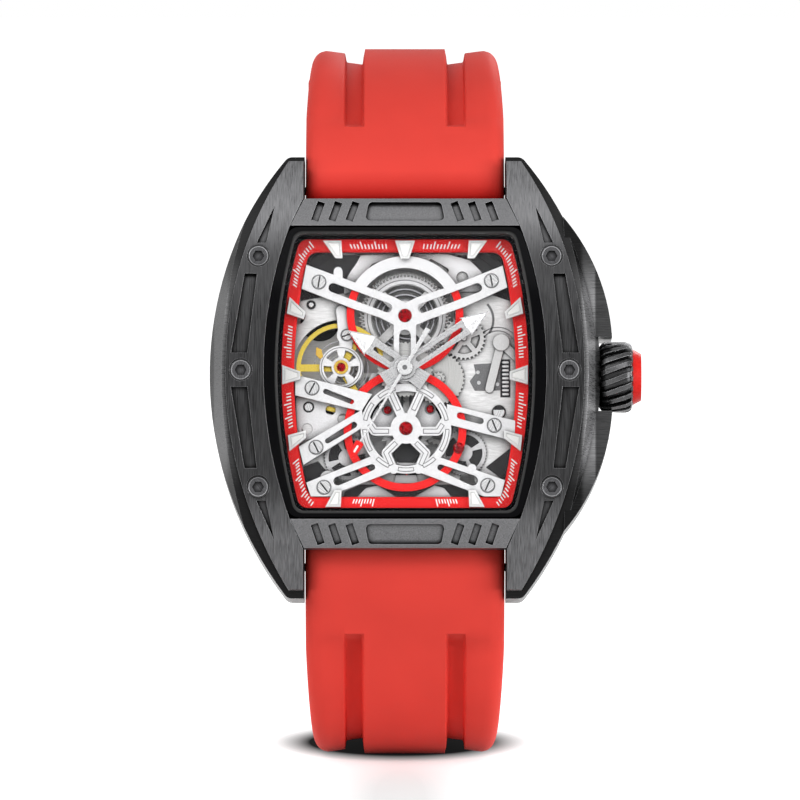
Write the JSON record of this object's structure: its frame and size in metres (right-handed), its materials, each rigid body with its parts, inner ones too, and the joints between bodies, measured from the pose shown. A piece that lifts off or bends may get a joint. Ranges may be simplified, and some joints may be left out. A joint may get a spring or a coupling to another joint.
{
  "type": "tonneau wrist watch",
  "caption": "Barrel-shaped wrist watch with a bolted bezel, open-worked self-winding movement, grooved crown and a pin-buckle rubber strap.",
  "frame": {"origin": "on the flat face of the case back, at the middle of the case", "axes": "+Z to 12 o'clock, +X to 3 o'clock and the crown, +Y from the dial to the case back"},
  "size_m": [0.0475, 0.0676, 0.0801],
  "materials": {
    "case_black": "satin",
    "rail_steel": "brushed",
    "ring_black": "gloss",
    "bolt_steel": "satin",
    "glass": "polished",
    "seal": "matte",
    "red_lacquer": "satin",
    "marker_steel": "polished",
    "red_rubber": "matte",
    "movement_steel": "brushed",
    "dark_plate": "satin",
    "wheel_brass": "satin",
    "jewel": "polished",
    "spring_steel": "satin",
    "rotor_weight": "brushed"
  },
  "bodies": {
    "case": {"case_middle": "case_black", "bezel_rail_left": "rail_steel", "bezel_rail_right": "rail_steel", "bezel_end_top": "rail_steel", "bezel_end_bottom": "rail_steel", "bezel_inner_ring": "ring_black", "bezel_bolts": "bolt_steel", "crystal": "glass", "crystal_gasket": "seal", "chapter_ring": "red_lacquer", "hour_markers": "marker_steel", "case_back": "case_black", "back_crystal": "glass", "case_back_screws": "bolt_steel", "crown_tube": "bolt_steel", "movement_ring": "dark_plate", "main_plate": "dark_plate", "train_bridge": "dark_plate", "upper_bridge": "movement_steel", "lower_bridge": "movement_steel", "bridge_screws": "bolt_steel", "bridge_jewels": "jewel", "red_ring_upper": "red_lacquer", "red_ring_lower": "red_lacquer", "balance_cock": "movement_steel", "spring_bar_upper": "bolt_steel", "spring_bar_lower": "bolt_steel"},
    "winding_pinion": {"sliding_pinion": "movement_steel"},
    "crown_and_stem": {"winding_stem": "bolt_steel", "crown": "case_black", "crown_cap": "red_lacquer"},
    "setting_lever": {"setting_lever": "movement_steel"},
    "setting_wheel": {"setting_wheel": "movement_steel"},
    "crown_wheel": {"crown_wheel": "movement_steel"},
    "ratchet": {"ratchet_wheel": "movement_steel", "barrel_arbor": "movement_steel"},
    "click": {"click": "movement_steel"},
    "barrel": {"barrel_drum": "wheel_brass", "barrel_cover": "movement_steel", "mainspring": "spring_steel"},
    "centre": {"centre_wheel": "wheel_brass"},
    "third": {"third_wheel": "wheel_brass"},
    "seconds": {"fourth_wheel": "wheel_brass", "seconds_hand": "marker_steel"},
    "escape": {"escape_wheel": "movement_steel"},
    "pallets": {"pallet_fork": "movement_steel"},
    "balance": {"balance_wheel": "wheel_brass", "hairspring": "spring_steel"},
    "minutes": {"cannon_pinion": "movement_steel", "minute_hand": "marker_steel"},
    "minute_wheel": {"minute_wheel": "wheel_brass"},
    "hours": {"hour_wheel": "wheel_brass", "hour_hand": "marker_steel"},
    "rotor": {"rotor": "rotor_weight"},
    "strap_upper": {"strap_upper": "red_rubber", "buckle_bar": "bolt_steel"},
    "strap_lower": {"strap_lower": "red_rubber"},
    "buckle": {"buckle_frame": "movement_steel"},
    "tongue": {"buckle_tongue": "movement_steel"},
    "keeper": {"keeper_sliding": "red_rubber"}
  },
  "joints": [
    {"name": "crown_turn", "type": "hinge", "parent": "case", "child": "winding_pinion", "pos_m": [0.011, -0.0062, 0], "axis": [1, 0, 0], "continuous": true},
    {"name": "crown_pull", "type": "slide", "parent": "winding_pinion", "child": "crown_and_stem", "axis": [1, 0, 0], "range_m": [0, 0.0009]},
    {"name": "setting_lever_rock", "type": "hinge", "parent": "case", "child": "setting_lever", "pos_m": [0.0106, -0.008, 0.0036], "axis": [0, -1, 0], "range_deg": [0, 8.2]},
    {"name": "setting_wheel_spin", "type": "hinge", "parent": "case", "child": "setting_wheel", "pos_m": [0.0065, -0.008, 0.00409], "axis": [0, 1, 0], "continuous": true},
    {"name": "crown_wheel_spin", "type": "hinge", "parent": "case", "child": "crown_wheel", "pos_m": [0.00729, -0.008, 0.00391], "axis": [0, 1, 0], "continuous": true},
    {"name": "ratchet_spin", "type": "hinge", "parent": "case", "child": "ratchet", "pos_m": [0, -0.008, 0.00649], "axis": [0, 1, 0], "continuous": true},
    {"name": "click_rock", "type": "hinge", "parent": "case", "child": "click", "pos_m": [-0.00576, -0.008, 0.00981], "axis": [0, -1, 0], "range_deg": [0, 6]},
    {"name": "barrel_spin", "type": "hinge", "parent": "case", "child": "barrel", "pos_m": [0, -0.008, 0.00649], "axis": [0, 1, 0], "continuous": true},
    {"name": "centre_spin", "type": "hinge", "parent": "case", "child": "centre", "pos_m": [0, -0.008, 0.0006], "axis": [0, 1, 0], "continuous": true},
    {"name": "third_spin", "type": "hinge", "parent": "case", "child": "third", "pos_m": [0.00495, -0.008, -0.0025], "axis": [0, 1, 0], "continuous": true},
    {"name": "seconds_spin", "type": "hinge", "parent": "case", "child": "seconds", "pos_m": [0, -0.008, 0.0006], "axis": [0, 1, 0], "continuous": true},
    {"name": "escape_spin", "type": "hinge", "parent": "case", "child": "escape", "pos_m": [0.0001, -0.008, -0.006], "axis": [0, 1, 0], "continuous": true},
    {"name": "pallet_rock", "type": "hinge", "parent": "case", "child": "pallets", "pos_m": [-0.00261, -0.008, -0.0034], "axis": [0, 1, 0], "range_deg": [-5, 5]},
    {"name": "balance_swing", "type": "hinge", "parent": "case", "child": "balance", "pos_m": [-0.00704, -0.008, 0.00085], "axis": [0, 1, 0], "range_deg": [-135, 135], "stiffness_Nm_per_rad": 0.0000004},
    {"name": "minute_spin", "type": "hinge", "parent": "case", "child": "minutes", "pos_m": [0, -0.008, 0.0006], "axis": [0, 1, 0], "continuous": true},
    {"name": "minute_wheel_spin", "type": "hinge", "parent": "case", "child": "minute_wheel", "pos_m": [0.00371, -0.008, -0.00039], "axis": [0, 1, 0], "continuous": true},
    {"name": "hour_spin", "type": "hinge", "parent": "case", "child": "hours", "pos_m": [0, -0.008, 0.0006], "axis": [0, 1, 0], "continuous": true},
    {"name": "rotor_spin", "type": "hinge", "parent": "case", "child": "rotor", "pos_m": [0, -0.008, 0], "axis": [0, 1, 0], "continuous": true},
    {"name": "strap_upper_swing", "type": "hinge", "parent": "case", "child": "strap_upper", "pos_m": [0, -0.0046, 0.0209], "axis": [1, 0, 0], "range_deg": [-3, 70]},
    {"name": "strap_lower_swing", "type": "hinge", "parent": "case", "child": "strap_lower", "pos_m": [0, -0.0046, -0.0209], "axis": [-1, 0, 0], "range_deg": [-3, 70]},
    {"name": "buckle_swing", "type": "hinge", "parent": "strap_upper", "child": "buckle", "pos_m": [0, 0.04599, 0.02218], "axis": [1, 0, 0], "range_deg": [-40, 40]},
    {"name": "tongue_lift", "type": "hinge", "parent": "buckle", "child": "tongue", "pos_m": [0, 0.04599, 0.02218], "axis": [1, 0, 0], "range_deg": [0, 60]},
    {"name": "keeper_travel", "type": "hinge", "parent": "strap_upper", "child": "keeper", "pos_m": [0, 0.0195, 0.0081], "axis": [1, 0, 0], "range_deg": [-6, 9]}
  ],
  "couplings": [
    {"joint": "setting_lever_rock", "follows": "crown_pull", "rad_per_m": 155},
    {"joint": "crown_wheel_spin", "follows": "crown_turn", "ratio": 0.28571},
    {"joint": "ratchet_spin", "follows": "crown_turn", "ratio": -0.22222},
    {"joint": "third_spin", "follows": "seconds_spin", "ratio": -0.13333},
    {"joint": "centre_spin", "follows": "seconds_spin", "ratio": 0.016667},
    {"joint": "barrel_spin", "follows": "seconds_spin", "ratio": -0.0027778},
    {"joint": "escape_spin", "follows": "seconds_spin", "ratio": -5},
    {"joint": "minute_wheel_spin", "follows": "minute_spin", "ratio": -0.33333},
    {"joint": "hour_spin", "follows": "minute_spin", "ratio": 0.083333},
    {"joint": "setting_wheel_spin", "follows": "minute_spin", "ratio": 0.4}
  ]
}
